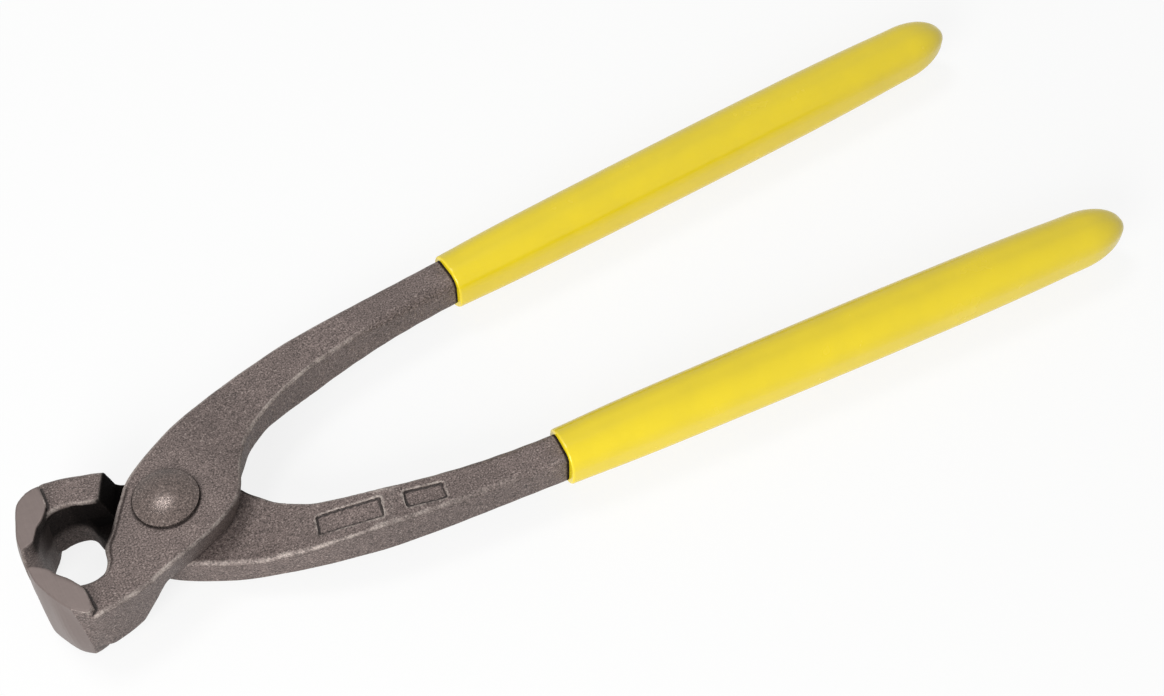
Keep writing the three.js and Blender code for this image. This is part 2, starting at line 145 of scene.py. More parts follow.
# The bar of the forging. A pair of numbers says where one form runs over into the next.
DRAFT = 0.095  # lean of a wall for each unit of height
LOWER_COUNTER_LEAN = 0.6  # share of it by which the lower throat leans back past the lap face
SIDE_INSET = 0.44  # how far the handle's sides lie inside its two lines
NEAR_INSET_SPAN, FAR_INSET_SPAN = (14, 24), (-6, 2)
UPPER_THROAT_SHIFT, LOWER_THROAT_SHIFT = -0.25, 0.15
THROAT_SHIFT_SPAN = (-15, -11)
HEAD_RUN_DOWN, NECK_THINNING = (6.9, 26), (26, 63)
SHOULDER_HALF, NECK_LESS, TANG_HALF = 5.2, 0.5, 4.0  # halves of the thickness
TANG_LENGTH, TANG_END = 130.7, 209.4
BAR_END, BAR_END_NORMAL = (-24.6, -6.0), (-0.98, 0.196)  # a plane inside the nose
BORE_RADIUS = 4.7

# The nose on the bar.
NOSE_BLEND_START = -20
FLANK_BLEND, THROAT_BLEND = (21.0, 25.5), (22.0, 24.2)  # distances in front of the rivet
ON_NOSE, ON_FRONT = 0.12, 0.1  # what counts as lying on the nose and on its ground front
NOSE_FOOT, NOSE_FOOT_GAIN, NOSE_FOOT_RISE = 0.05, 0.3, (7.0, 8.0)  # hollow along its root

# Roundings.
LAP_FILLET, LAP_FILLET_SPAN = 0.7, (-10, -3)
NEAR_NECK_FILLET, FAR_NECK_FILLET, NECK_FILLET_SPAN = 2.0, 0.6, (42, 76)
NOSE_EDGE, BORE_EDGE = 0.25, 0.25
CUT_EDGE = 0.4
RAMP_EDGE, RAMP_EDGE_ACROSS, RAMP_EDGE_AWAY = 0.7, (6, 10), (28, 40)  # more, along the ramp
UPPER_CORNER_ROUND, LOWER_CORNER_ROUND = 2.0, 0.5  # where the wall meets the jaw's outside
CORNER_ACROSS, CORNER_SPAN = (8, 10), (-8, -5)

# Where the levers are meshed: finely over the head, twice as coarsely over the neck, closely
# round the grips' mouths, and in long steps along the hidden tang.
MESH_START, HEAD_END, NECK_END = -31.6, 36, 77
MOUTH_PLACES = np.arange(77.2, 79.4, 0.2)
TANG_PLACES = np.append(np.arange(80, 208, 3), [208, 209, 210])
MESH_ACROSS, MESH_HEIGHT = (-17.3, 26.6), (-10.4, 10.5)
MEAN_PULL = 0.15  # how strongly a corner of the mesh keeps to the middle of its cell's crossings
CELL_MARGIN = 0.02  # share of its cell by which a corner keeps from the cell's sides
SLOPE_REACH = 0.03  # how far round a point its slope is read
COARSE_STEP = 4  # cells between the points of the coarse pass
# How the nearest point of a line is searched: tries, share of each move, longest move in mm.
FOOT_TRIES, FOOT_SHARE, FOOT_MOVE = 5, 0.75, 3

# Recessed panels on the handle: middle, length, width and turn in degrees.
PANELS = [((32.4, 17.1), 13.6, 4.8, 11.8), ((48.0, 19.7), 8.5, 4.0, 9.3)]
PANEL_CORNER, PANEL_FLOOR, PANEL_EDGE = 0.5, 0.1, 0.12  # their roundings

# Marks on the steel: where along X each fades in and out, its strength, and the distances from
# its middle at which it starts to fade and is gone. The lips are pale, worn and with a painted
# highlight. The others are painted shade: the wall at the jaw's end, the joint between the
# levers, a line behind the lap's rim along the throat, and a band along the side of the lap.
MARKS = {
    "lower_lip": ((-26.5, -25.5), (-18, -17), 1, (0.15, 0.5)),
    "wall_lip": ((-19, -18), (-14, -12.6), 1, (0.15, 0.55)),
    "upper_lip": ((-19, -16), (-6, -3), 0.85, (0.15, 0.5)),
    "wall": ((-40, -39), (-6, -3), 1, (0.1, 0.8)),
    "joint": ((-8, -6), (16, 20), 0.9, (0.2, 0.5)),
    "rim": ((-18, -15), (-6, -4), 0.7, (0.1, 0.4)),
    "band": ((-6, 0), (14, 22), 0.3, (0.3, 0.8)),
}
MARK_REACH = 0.5  # how far round a point its relief is read
RELIEF_LIMIT, LIP_RELIEF = 1.5, 1.4
LIP_INSET, LIP_HEIGHT = 0.3, 0.8  # how far in from the edge, and down from the top
WALL_LIP_FROM = -8  # where across the lever the wall's lip begins
JAW_HOLLOWS, FACE_HOLLOWS = (-22, -19.5), (6.9, 7.4)  # where a hollow counts, along and by height
GROUND_START, NOSE_FACE_DEPTH, INSIDE_GROUND = -22.3, 0.15, 0.35
# Painted shade darkens the shut-in throat and the nose's inside; the lines below set where and how
# much.
PAST_LAP = (3, 7)  # how far past the lap face the throat and the nose's inside turn darkest
PAST_LAP_DARK, NOSE_DARK, NOSE_DARK_SPAN = 0.95, 0.8, (-29, -26.5)
THROAT_START, UPPER_THROAT_END, LOWER_THROAT_END = (-27.5, -24), (-13, -7), (-9, -6)
THROAT_DEPTH, THROAT_TOP = (0.3, 1.0), (1.2, 0.5)  # from its wall, and down from the top
FRONT_DARK, FRONT_DARK_SPAN = 0.86, (-22, -16)
LAP_SIDE, LAP_SIDE_SPAN, LAP_SIDE_PALER = (0.3, 3.2), (-17, -12), 0.6  # less dark there
# A painted shadow rings the rivet's head, on the lever round its seat.
SEAT_RADIUS, SEAT_WIDTH, SEAT_DARK, SEAT_HEIGHT = 6.75, (0.15, 0.5), 0.8, 1  # round the rivet
JOINT_HEIGHT = (0.35, 0.85)  # from the lap face
RIM_INSET, RIM_HEIGHT = 1.1, 0.4  # as for the lips
# Painted shade: a dark line on the steel along the grip's mouth, where the gap under the vinyl
# lies in shadow.
MOUTH_SHADE, MOUTH_SHADE_SPAN = 0.95, (0.75, 0.4)  # along the grip's mouth, and how far before it

# Rivet: heights from its middle, and roundings of a head.
HEAD_SEAT, HEAD_RIM = 8.1, 8.75
SEAT_STEP, UNDERCUT, RIM_ROUND, DOME_POWER = 0.15, 0.9, 0.3, 2.1
OUT_OF_ROUND = 0.05
RIVET_AROUND, DOME_RINGS = 96, 20
RIVET_WEAR, RIVET_WEAR_WIDTH = 0.25, 1.2
RIVET_ROUGH, RIVET_PITTED = 0.27, 0.18

# Grips: the axis, the lip at the mouth and the bore for the tang.
GRIP_TIP, GRIP_OFFSET, GRIP_TOE_IN = 221.45, 20.9, 1.5
LIP_LENGTH, LIP_SHARE, LEAST_SHARE = 0.5, 0.045, 0.03
BORE_SIZES = (0.00872, 0.0097, 0.0021)  # width, thickness and corner, in metres
BORE_BEFORE, BORE_END = 5, 209.7
MOUTH_DEPTH, MOUTH_SHARE = 1.6, 1.06
LIP_RINGS, BODY_RINGS, END_RINGS = 7, 90, 26
# The grip's size along its length, by percent of it, as shares of its greatest.
GRIP_SIZE_LINE = [
    (0, 0.855), (3, 0.875), (8, 0.91), (15, 0.941), (25, 0.965), (36, 0.984), (50, 1), (61, 1),
    (71, 0.992), (82, 0.956), (90, 0.91), (100, 0.89),
]

# Edges that turn by more than this, in degrees, stay sharp.
RIVET_SHARP, GRIP_SHARP = 50, 40

# Colours painted on the steel: a painted glint, worn edges with a painted highlight, and
# painted shade, in hollows and near black in shut-in places.
GLINT, WORN_AND_LIT_EDGE, HOLLOW_SHADE, PAINTED_SHADE_BLACK = "#aca19a", "#b8ada5", "#231f1d", "#060505"
SHOT_MARK = 0.36  # shot marks are about 0.2 mm; they are drawn coarser, so that they show
WHITE = (1, 1, 1, 1)

# Stage, in metres: lamps by place and size, the floor's half width and the share of it that
# shines white, the soft light from all round, and the camera.
KEY_LAMP, FILL_LAMP = ((-0.15, 0.26, 0.86), 0.24), ((-0.72, -0.50, 0.42), 0.5)
LAMP_TARGET = Vector((0, 0, 0.01))
FLOOR_HALF, FLOOR_WHITE = 2.0, 0.84
SKY, SKY_STRENGTH = "#e8ebee", 0.42
CAMERA_EYE, CAMERA_TARGET = (-0.11709, -0.20556, 0.33849), Vector((0.00041, -0.00428, 0.01052))
CAMERA_ROLL, SENSOR_WIDTH = 0.465, 36  # degrees, mm


def linear(code):
    """Linear RGBA of an sRGB hex colour."""
    channels = [int(code[i : i + 2], 16) / 255 for i in (1, 3, 5)]
    return tuple(
        c / 12.92 if c <= 0.04045 else ((c + 0.055) / 1.055) ** 2.4 for c in channels
    ) + (1.0,)


def add(tree, kind, inputs=None, **settings):
    """A node with its settings, and its inputs as values or as the sockets that feed them."""
    made = tree.nodes.new(kind)
    for name, value in settings.items():
        setattr(made, name, value)
    for key, value in (inputs or {}).items():
        if isinstance(value, bpy.types.NodeSocket):
            tree.links.new(value, made.inputs[key])
        else:
            made.inputs[key].default_value = value
    return made


# Settings


def length_setting(name, description, default, least, most):
    """A setting for a length, given in millimetres."""
    return FloatProperty(
        name=name, description=description, default=default * MM, min=least * MM, max=most * MM,
        subtype="DISTANCE", unit="LENGTH",
    )


def colour_setting(name, description, code):
    """A setting for a colour, given as an sRGB hex value."""
    return FloatVectorProperty(
        name=name, description=description, default=linear(code), min=0, max=1, size=4,
        subtype="COLOR",
    )


def power_setting(name, description, default):
    """A setting for a lamp's power, in watts."""
    return FloatProperty(
        name=name, description=description, default=default, min=0, max=100, unit="POWER",
    )


class PliersForging(bpy.types.PropertyGroup):
    """Sizes and colours of the two forged levers."""

    head_thickness: length_setting("Head thickness", "Both laps together", 16, 12, 20)
    nose_height: length_setting(
        "Nose height", "Ground nose across its two faces", 19.6, 16, 22,
    )
    forged_fillet: length_setting(
        "Forged fillet", "Rounding along the jaw's outer edges", 1, 0.5, 4,
    )
    throat_fillet: length_setting(
        "Throat fillet", "Rounding along the throat's edges", 0.9, 0.3, 2,
    )
    wall_fillet: length_setting(
        "Wall fillet", "Hollow rounding where the jaw's wall meets the lap", 1.5, 0.3, 3,
    )
    panel_depth: length_setting("Panel depth", "Depth of the bare recessed panels", 0.5, 0.1, 1)
    unevenness: length_setting("Unevenness", "Height of the forging's soft waves", 0.05, 0, 0.3)
    fineness: length_setting("Fineness", "Spacing of the mesh on the head", 0.33, 0.25, 1)
    steel: colour_setting("Forged steel", "Colour of the blasted forging", "#695d59")
    ground: colour_setting("Ground steel", "Colour of the ground nose", "#6d615d")


class PliersRivet(bpy.types.PropertyGroup):
    """Sizes and colour of the pivot rivet."""

    head_diameter: length_setting("Head diameter", "Across the pressed head", 13.4, 10, 18)
    shank_diameter: length_setting("Shank diameter", "Across the shank", 9, 6, 9.3)
    steel: colour_setting("Rivet steel", "Colour of the pressed rivet", "#625651")


class PliersGrips(bpy.types.PropertyGroup):
    """Sizes and colour of the two dipped grips."""

    width: length_setting("Width", "Greatest width of a grip", 13.2, 10, 20)
    thickness: length_setting("Thickness", "Greatest thickness of a grip", 14.2, 10, 20)
    corner: length_setting("Corner", "Rounding of the section's corners", 5.6, 2, 6)
    end_round: length_setting("End round", "Length of the rounded closed end", 12.5, 6, 20)
    around: IntProperty(
        name="Corner steps", description="Points round each corner of the section", default=18,
        min=4, max=40,
    )
    vinyl: colour_setting("Vinyl", "Colour of the dipped vinyl", "#e9cf1c")


class PliersStage(bpy.types.PropertyGroup):
    """Floor, light and camera."""

    floor: colour_setting("Floor", "Colour of the floor", "#f7f7f5")
    key_power: power_setting("Key light", "Power of the soft key light", 2.15)
    fill_power: power_setting("Fill light", "Power of the soft fill light", 8.3)
    lens: FloatProperty(
        name="Lens", description="Focal length of the camera", default=56.9, min=20, max=200,
        unit="CAMERA",
    )


# Shapes


def line_table(points):
    """Places, heights and slopes of a smooth line through points, every 0.05 mm."""
    x, y = np.array(points, float).T
    slope = np.empty_like(x)
    slope[1:-1] = (y[2:] - y[:-2]) / (x[2:] - x[:-2])
    slope[0] = (y[1] - y[0]) / (x[1] - x[0])
    slope[-1] = (y[-1] - y[-2]) / (x[-1] - x[-2])
    at = np.arange(x[0], x[-1], 0.05)
    i = np.clip(np.searchsorted(x, at, "right") - 1, 0, len(x) - 2)
    span = x[i + 1] - x[i]
    t = (at - x[i]) / span
    height = (
        (1 + 2 * t) * (1 - t) ** 2 * y[i]
        + t * (1 - t) ** 2 * span * slope[i]
        + t * t * (3 - 2 * t) * y[i + 1]
        - t * t * (1 - t) * span * slope[i + 1]
    )
    return at, height, np.gradient(height, at)


def line_height(table, x):
    return np.interp(x, table[0], table[1])


def above_line(table, x, y):
    """Signed distance of points from a line, positive above it."""
    foot = x.copy()
    nearest = np.abs(y - line_height(table, x))
    for _ in range(FOOT_TRIES):
        slope = np.interp(foot, table[0], table[2])
        move = ((x - foot) + (y - line_height(table, foot)) * slope) / (1 + slope * slope)
        foot = foot + FOOT_SHARE * np.clip(move, -FOOT_MOVE, FOOT_MOVE)
        nearest = np.minimum(nearest, np.hypot(x - foot, y - line_height(table, foot)))
    return np.copysign(nearest, y - line_height(table, x))


def smoothstep(x, low, high):
    t = np.clip((x - low) / (high - low), 0, 1)
    return t * t * (3 - 2 * t)


def both(a, b, radius):
    """Inside both forms, with their common edge rounded."""
    corner = np.hypot(np.maximum(a + radius, 0), np.maximum(b + radius, 0))
    return np.minimum(np.maximum(a, b), -radius) + corner


def either(a, b, radius):
    """Inside either form, with a hollow rounding where they meet."""
    return -both(-a, -b, radius)


def outline_distance(x, y, corners):
    """Signed distance from a closed outline, negative inside, and the nearest side's number."""
    nearest = np.full(x.shape, 1e9)
    side = np.zeros(x.shape, int)
    inside = np.zeros(x.shape, bool)
    for number, (ax, ay) in enumerate(corners):
        bx, by = corners[(number + 1) % len(corners)]
        ex, ey = bx - ax, by - ay
        t = np.clip(((x - ax) * ex + (y - ay) * ey) / (ex * ex + ey * ey), 0, 1)
        gap = (x - ax - t * ex) ** 2 + (y - ay - t * ey) ** 2
        side = np.where(gap < nearest, number, side)
        nearest = np.minimum(nearest, gap)
        crosses = (ay > y) != (by > y)
        flat = np.where(np.abs(by - ay) < 1e-9, 1e-9, by - ay)
        inside ^= crosses & (x < ax + (y - ay) / flat * ex)
    return np.where(inside, -1, 1) * np.sqrt(nearest), side


def smooth_outline(points):
    """Points of a nose outline with its spans between sharp corners made smooth."""
    points = np.array(points, float)
    made, sides = [], []
    stops = list(NOSE_CORNERS) + [len(points)]
    for start, stop in zip(stops, stops[1:]):
        last = min(stop, len(points) - 1)
        for i in range(start, stop):
            here, after = points[i], points[(i + 1) % len(points)]
            if last - start < 2 or stop == len(points):
                made.append(here)
                sides.append(i)
                continue
            before = points[max(i - 1, start)]
            beyond = points[min(i + 2, last)]
            for t in (0, 0.25, 0.5, 0.75):
                made.append(
                    0.5 * (2 * here + (after - before) * t
                           + (2 * before - 5 * here + 4 * after - beyond) * t * t
                           + (3 * here - before - 3 * after + beyond) * t**3)
                )
                sides.append(i)
    return np.array(made), np.array(sides)


def nose_outline(z, half, lower):
    """Corners of the nose's outline at each height, and the side that each belongs to."""
    lap_side, sides = smooth_outline(NOSE_LAP_SIDE)
    middle = smooth_outline(NOSE_MIDDLE)[0]
    far_side = smooth_outline(LOWER_NOSE_FAR_SIDE if lower else UPPER_NOSE_FAR_SIDE)[0]
    rise = np.clip(z / half, -1, 1)
    corners = [
        tuple(
            m[k] + rise * (u[k] - l[k]) / 2 + rise * rise * ((u[k] + l[k]) / 2 - m[k])
            for k in (0, 1)
        )
        for u, m, l in zip(lap_side, middle, far_side)
    ]
    return corners, sides


def line_distance(x, y, start, end):
    """Signed distance from the line through two corners, positive outside the outline."""
    ex, ey = end[0] - start[0], end[1] - start[1]
    return ((x - start[0]) * ey - (y - start[1]) * ex) / np.hypot(ex, ey)


def half_thickness(x, sizes):
    """Half the lever's thickness: the head, down to the shoulder, then neck and tang."""
    down = smoothstep(x, *HEAD_RUN_DOWN)
    thinning = smoothstep(x, *NECK_THINNING)
    tang = np.clip((x - UPPER_MOUTH) / TANG_LENGTH, 0, 1)
    handle = SHOULDER_HALF - NECK_LESS * thinning
    body = sizes["head"] + (handle - sizes["head"]) * down
    return body + (TANG_HALF - body) * tang


def soft_waves(x, y, z):
    """The forging's unevenness: waves of about 12 mm, with finer ones of about 5 mm."""
    return (
        np.sin(0.52 * x + 0.9) * np.sin(0.61 * y + 0.4) * np.cos(0.43 * z)
        + 0.6 * np.sin(1.13 * x - 0.7 * y + 2.0) * np.cos(0.9 * z + 0.5)
    )


def wall_outline(depth, at_lap, at_face):
    """Outline, at a depth, of what is cut away behind the jaw's wall for the other lever."""
    outer, inner, corner = (
        [a + (b - a) * depth for a, b in zip(low, high)] for low, high in zip(at_lap, at_face)
    )
    slope = (outer[1] - inner[1]) / (outer[0] - inner[0])
    low_end = outer[0] + (CUT_LOW - outer[1]) / slope
    return [
        (low_end, CUT_LOW), (CUT_RIGHT, CUT_LOW), (CUT_RIGHT, CUT_HIGH), (corner[0], CUT_HIGH),
        corner, inner,
    ]


def panel_hollow(x, y, floor, panel):
    """Signed distance from a recessed panel, given the height above its floor."""
    (px, py), length, width, turn = panel
    c, s = math.cos(math.radians(turn)), math.sin(math.radians(turn))
    along = np.abs((x - px) * c + (y - py) * s) - length / 2
    across = np.abs((y - py) * c - (x - px) * s) - width / 2
    return both(both(along, across, PANEL_CORNER), floor, PANEL_FLOOR)


def lever_form(sizes, lower):
    """A function that gives the signed distance of points from one forged lever, mm."""
    near, far = line_table(NEAR_LINE), line_table(FAR_LINE)
    outer_lean, throat_lean = line_table(OUTER_LEAN_LINE), line_table(THROAT_LEAN_LINE)
    ramp = line_table(RAMP_LINE)
    wall = LOWER_WALL if lower else UPPER_WALL
    corner_round = LOWER_CORNER_ROUND if lower else UPPER_CORNER_ROUND
    throat_shift = LOWER_THROAT_SHIFT if lower else UPPER_THROAT_SHIFT

    def form(x, y, z, parts=False):
        half = half_thickness(x, sizes)
        rise = np.abs(z) - half
        outer = -above_line(near, x, y) - DRAFT * line_height(outer_lean, x) * z
        outer = outer + SIDE_INSET * smoothstep(x, *NEAR_INSET_SPAN)
        leaning = np.minimum(z, -LOWER_COUNTER_LEAN * z) if lower else z
        inner = above_line(far, x, y + DRAFT * line_height(throat_lean, x) * leaning)
        inner = inner + SIDE_INSET * smoothstep(x, *FAR_INSET_SPAN)
        inner = inner + throat_shift * (1 - smoothstep(x, *THROAT_SHIFT_SPAN))
        outline = None
        front = x < NOSE_BLEND_START
        front_gap = np.full(x.shape, -CLEAR)
        if front.any():
            outline, sides = nose_outline(z[front], sizes["nose"], lower)
            crease = np.searchsorted(sides, NOSE_CREASE)
            fx, fy = x[front], y[front]
            front_gap[front] = line_distance(fx, fy, outline[crease - 1], outline[crease])
            # Towards the nose, the bar's sides run into the nose's own.
            for gap, flank, span in (
                (outer, NOSE_FLANK, FLANK_BLEND), (inner, NOSE_THROAT_FLANK, THROAT_BLEND),
            ):
                start, end = (outline[i] for i in np.searchsorted(sides, flank))
                share = smoothstep(-fx, *span)
                gap[front] += share * (line_distance(fx, fy, start, end) - gap[front])
        lap = smoothstep(x, *LAP_FILLET_SPAN)
        neck = smoothstep(x, *NECK_FILLET_SPAN)
        outer_fillet = sizes["fillet"] + (LAP_FILLET - sizes["fillet"]) * lap
        outer_fillet = outer_fillet + NEAR_NECK_FILLET * neck
        inner_fillet = sizes["throat"] + FAR_NECK_FILLET * neck
        made = np.maximum(both(outer, rise, outer_fillet), both(inner, rise, inner_fillet))
        made = made + sizes["waves"] * soft_waves(x, y, z)
        # The bar ends inside the nose, and the nose's ground front cuts its forged side.
        bar_end = BAR_END_NORMAL[0] * (x - BAR_END[0]) + BAR_END_NORMAL[1] * (y - BAR_END[1])
        made = np.maximum(made, np.maximum(bar_end, x - TANG_END))
        side = np.full(x.shape, NO_SIDE)
        if outline:
            made = np.maximum(made, front_gap)
            gap, nearest = outline_distance(fx, fy, outline)
            on_nose = (np.abs(gap) < ON_NOSE) | (np.abs(front_gap[front]) < ON_FRONT)
            side[front] = np.where(on_nose, sides[nearest], NO_SIDE)
            nose = both(gap, (np.abs(z) - sizes["nose"])[front], NOSE_EDGE)
            step = NOSE_FOOT + NOSE_FOOT_GAIN * smoothstep(np.abs(z[front]), *NOSE_FOOT_RISE)
            made[front] = either(made[front], nose, step)
        away = np.hypot(x, y)
        lap_face = line_height(ramp, away)
        head = x < CUT_RIGHT
        cut = np.full(x.shape, CLEAR)
        depth = np.clip(-z[head] / sizes["head"], 0, 1)
        beyond = outline_distance(x[head], y[head], wall_outline(depth, *wall))[0]
        cut[head] = both(beyond, (z - lap_face)[head], sizes["wall"])
        on_ramp = smoothstep(y, *RAMP_EDGE_ACROSS) * (1 - smoothstep(away, *RAMP_EDGE_AWAY))
        at_corner = smoothstep(-y, *CORNER_ACROSS) * (1 - smoothstep(x, *CORNER_SPAN))
        edge = CUT_EDGE + RAMP_EDGE * on_ramp + (corner_round - CUT_EDGE) * at_corner
        made = both(made, -cut, edge)
        made = both(made, BORE_RADIUS - away, BORE_EDGE)
        top = np.minimum(half, -lap_face)
        for panel in PANELS:
            made = both(made, -panel_hollow(x, y, z + top - sizes["panel"], panel), PANEL_EDGE)
        if parts:
            return made, outer, inner, cut, side
        return made

    return form


def slope_of(form, points):
    """Unit gradient of a form at points."""
    made = np.empty_like(points)
    for axis in range(3):
        step = np.zeros(3)
        step[axis] = SLOPE_REACH
        made[:, axis] = form(*(points + step).T) - form(*(points - step).T)
    return made / np.maximum(np.linalg.norm(made, axis=1, keepdims=True), 1e-9)


def closed_surface(form, axes):
    """Corners and four-sided faces of the surface where a form is zero. Each grid cell that it
    crosses gets one corner, where the planes of its crossings meet. A coarse pass shows where
    the surface runs, and the fine grid is filled in only there."""
    skip = COARSE_STEP
    shape = tuple(len(axis) for axis in axes)
    coarse_at = [np.minimum(np.arange(0, n + skip, skip), n - 1) for n in shape]
    grid = np.meshgrid(*(axis[at] for axis, at in zip(axes, coarse_at)), indexing="ij")
    coarse = form(*(g.ravel() for g in grid)).reshape(grid[0].shape)
    nearest = np.ix_(*(np.minimum((np.arange(n) + skip // 2) // skip, n) for n in shape))
    value = coarse[nearest]
    room = [
        np.gradient(axis)[:, None, None].transpose(np.roll((0, 1, 2), a))
        for a, axis in enumerate(axes)
    ]
    close = np.abs(value) < skip * np.sqrt(room[0] ** 2 + room[1] ** 2 + room[2] ** 2)
    filled = np.nonzero(close)
    value[filled] = form(*(axis[i] for axis, i in zip(axes, filled)))
    solid = value < 0
    cells = np.array(value.shape) - 1
    rings, spots = [], []
    for axis in range(3):
        low = np.take(solid, range(cells[axis]), axis)
        high = np.take(solid, range(1, cells[axis] + 1), axis)
        node = np.argwhere(low != high)
        step = np.eye(3, dtype=int)[axis]
        v0, v1 = value[tuple(node.T)], value[tuple((node + step).T)]
        place = np.stack([axes[a][node[:, a]] for a in range(3)], 1)
        span = axes[axis][node[:, axis] + 1] - axes[axis][node[:, axis]]
        place[:, axis] += span * v0 / (v0 - v1)
        b, c = np.eye(3, dtype=int)[(axis + 1) % 3], np.eye(3, dtype=int)[(axis + 2) % 3]
        ring = np.stack(
            [np.ravel_multi_index((node + s).T, cells) for s in (0 * b, -b, -b - c, -c)], 1
        )
        outward = low[tuple(node.T)]
        rings.append(np.where(outward[:, None], ring, ring[:, ::-1]))
        spots.append(place)
    rings, spots = np.concatenate(rings), np.concatenate(spots)
    normals = slope_of(form, spots)
    used, faces = np.unique(rings, return_inverse=True)
    faces = faces.reshape(rings.shape)
    owner = faces.ravel()
    spot, normal = np.repeat(spots, 4, 0), np.repeat(normals, 4, 0)

    def total(weights):
        return np.bincount(owner, weights, len(used))

    count = total(np.ones(len(owner)))
    mean = np.stack([total(spot[:, a]) for a in range(3)], 1) / count[:, None]
    offset = np.einsum("ij,ij->i", normal, spot - mean[owner])
    matrix = np.zeros((len(used), 3, 3))
    target = np.zeros((len(used), 3))
    for a in range(3):
        target[:, a] = total(normal[:, a] * offset)
        for b in range(3):
            matrix[:, a, b] = total(normal[:, a] * normal[:, b]) + MEAN_PULL * (a == b)
    corners = mean + np.linalg.solve(matrix, target[:, :, None])[:, :, 0]
    index = np.stack(np.unravel_index(used, cells), 1)
    for a in range(3):
        low, high = axes[a][index[:, a]], axes[a][index[:, a] + 1]
        margin = CELL_MARGIN * (high - low)
        corners[:, a] = np.clip(corners[:, a], low + margin, high - margin)
    return corners, faces


def mark(kind, gap, x):
    """Strength of one of the marks, round the place where a gap is zero and along its span."""
    rises, falls, strength, width = MARKS[kind]
    along = smoothstep(x, *rises) * (1 - smoothstep(x, *falls))
    return strength * (1 - smoothstep(np.abs(gap), *width)) * along


def surface_marks(form, corners, sizes, lower):
    """What the steel's material reads at each corner: how the surface bends, with painted
    highlights along the lips, where it was ground and where shade is painted dark."""
    bend = 0
    for axis in range(3):
        for step in (-MARK_REACH, MARK_REACH):
            bend = bend + form(*(corners + step * np.eye(3)[axis]).T)
    made, outer, inner, cut, side = form(*corners.T, parts=True)
    relief = np.clip((bend - 6 * made) / MARK_REACH**2, -RELIEF_LIMIT, RELIEF_LIMIT)
    x, y, z = corners.T
    head, nose = sizes["head"], sizes["nose"]
    # Painted shade in hollows counts only behind the nose and near the lever's faces.
    sunk = smoothstep(x, *JAW_HOLLOWS) + smoothstep(np.abs(z), *FACE_HOLLOWS)
    relief = np.where(relief < 0, relief * np.minimum(sunk, 1), relief)
    # A pale line, worn and with a painted highlight, runs along the throat's upper edge, and on
    # the lower lever up its wall.
    lip = mark("lower_lip" if lower else "upper_lip", inner + LIP_INSET, x)
    if lower:
        lip = np.maximum(lip, mark("wall_lip", cut - LIP_INSET, x) * (y > WALL_LIP_FROM))
    lip = lip * ((-z if lower else z) > head - LIP_HEIGHT)
    relief = np.where(lip > 0, np.maximum(relief, LIP_RELIEF * lip), relief)
    front = x < GROUND_START
    level = np.abs(z) > nose - NOSE_FACE_DEPTH
    inside = front & (side >= NOSE_INSIDE) & (side < NO_SIDE) & ~level
    past_lap = smoothstep(-z, *PAST_LAP)
    smoothed = INSIDE_GROUND * inside * (1 - past_lap)
    ground = np.where(front & (level | (side < NOSE_CREASE)), 1.0, smoothed)
    # Painted shade darkens the shut-in throat, the wall at the jaw's end and the lap face.
    throat = 1 - smoothstep(np.abs(inner), *THROAT_DEPTH)
    throat *= 1 - smoothstep(x, *(LOWER_THROAT_END if lower else UPPER_THROAT_END))
    lap_side = smoothstep(z, *LAP_SIDE) * (1 - smoothstep(x, *LAP_SIDE_SPAN))
    throat *= 1 - LAP_SIDE_PALER * lap_side
    throat *= 1 - smoothstep(-z, *(head - down for down in THROAT_TOP))
    deep = FRONT_DARK + (1 - FRONT_DARK) * smoothstep(x, *FRONT_DARK_SPAN)
    dark = throat * smoothstep(x, *THROAT_START) * np.maximum(deep, PAST_LAP_DARK * past_lap)
    seat = 1 - smoothstep(np.abs(np.hypot(x, y) - SEAT_RADIUS), *SEAT_WIDTH)
    mouth = LOWER_MOUTH if lower else UPPER_MOUTH
    # More painted shade: the nose's inside past the lap face, the wall, a painted shadow round the
    # rivet's head, the joint between the levers, the line behind the throat's rim, the band along
    # the lap's side, and the shaded gap at the grip's mouth.
    for scale in (
        NOSE_DARK * inside * past_lap * smoothstep(x, *NOSE_DARK_SPAN),
        mark("wall", cut, x) * (1 - lip),
        SEAT_DARK * seat * (np.abs(z) > head - SEAT_HEIGHT),
        mark("joint", outer, x) * (1 - smoothstep(np.abs(z), *JOINT_HEIGHT)),
        mark("rim", inner + RIM_INSET, x) * (z > head - RIM_HEIGHT),
        mark("band", outer, x),
        MOUTH_SHADE * smoothstep(x, *(mouth - before for before in MOUTH_SHADE_SPAN)),
    ):
        dark = np.maximum(dark, scale)
    return {"relief": relief, "ground": ground, "painted_shade": dark}


def rest_matrix(lower):
    """From one closed lever, in mm, to its place on the tool at rest, in metres."""
    turn = Matrix.Rotation(REST_HALF_ANGLE, 4, "Z")
    if lower:
        turn = Matrix.Rotation(math.pi, 4, "X") @ turn
    return Matrix.Translation(PIVOT) @ turn @ Matrix.Scale(MM, 4)


def place_mesh(name, mesh, matrix, material):
    """An object at the origin whose mesh is turned and moved to its place."""
    mesh.transform(matrix)
    mesh.materials.clear()
    mesh.materials.append(material)
    made = bpy.data.objects.new(name, mesh)
    bpy.context.scene.collection.objects.link(made)
    return made


def shade_by_angle(mesh, degrees):
    mesh.shade_smooth()
    mesh.set_sharp_from_angle(angle=math.radians(degrees))


# Materials


def empty_tree(owner):
    """The node tree of a material or world, with nothing in it."""
    owner.use_nodes = True
    owner.node_tree.nodes.clear()
    return owner.node_tree


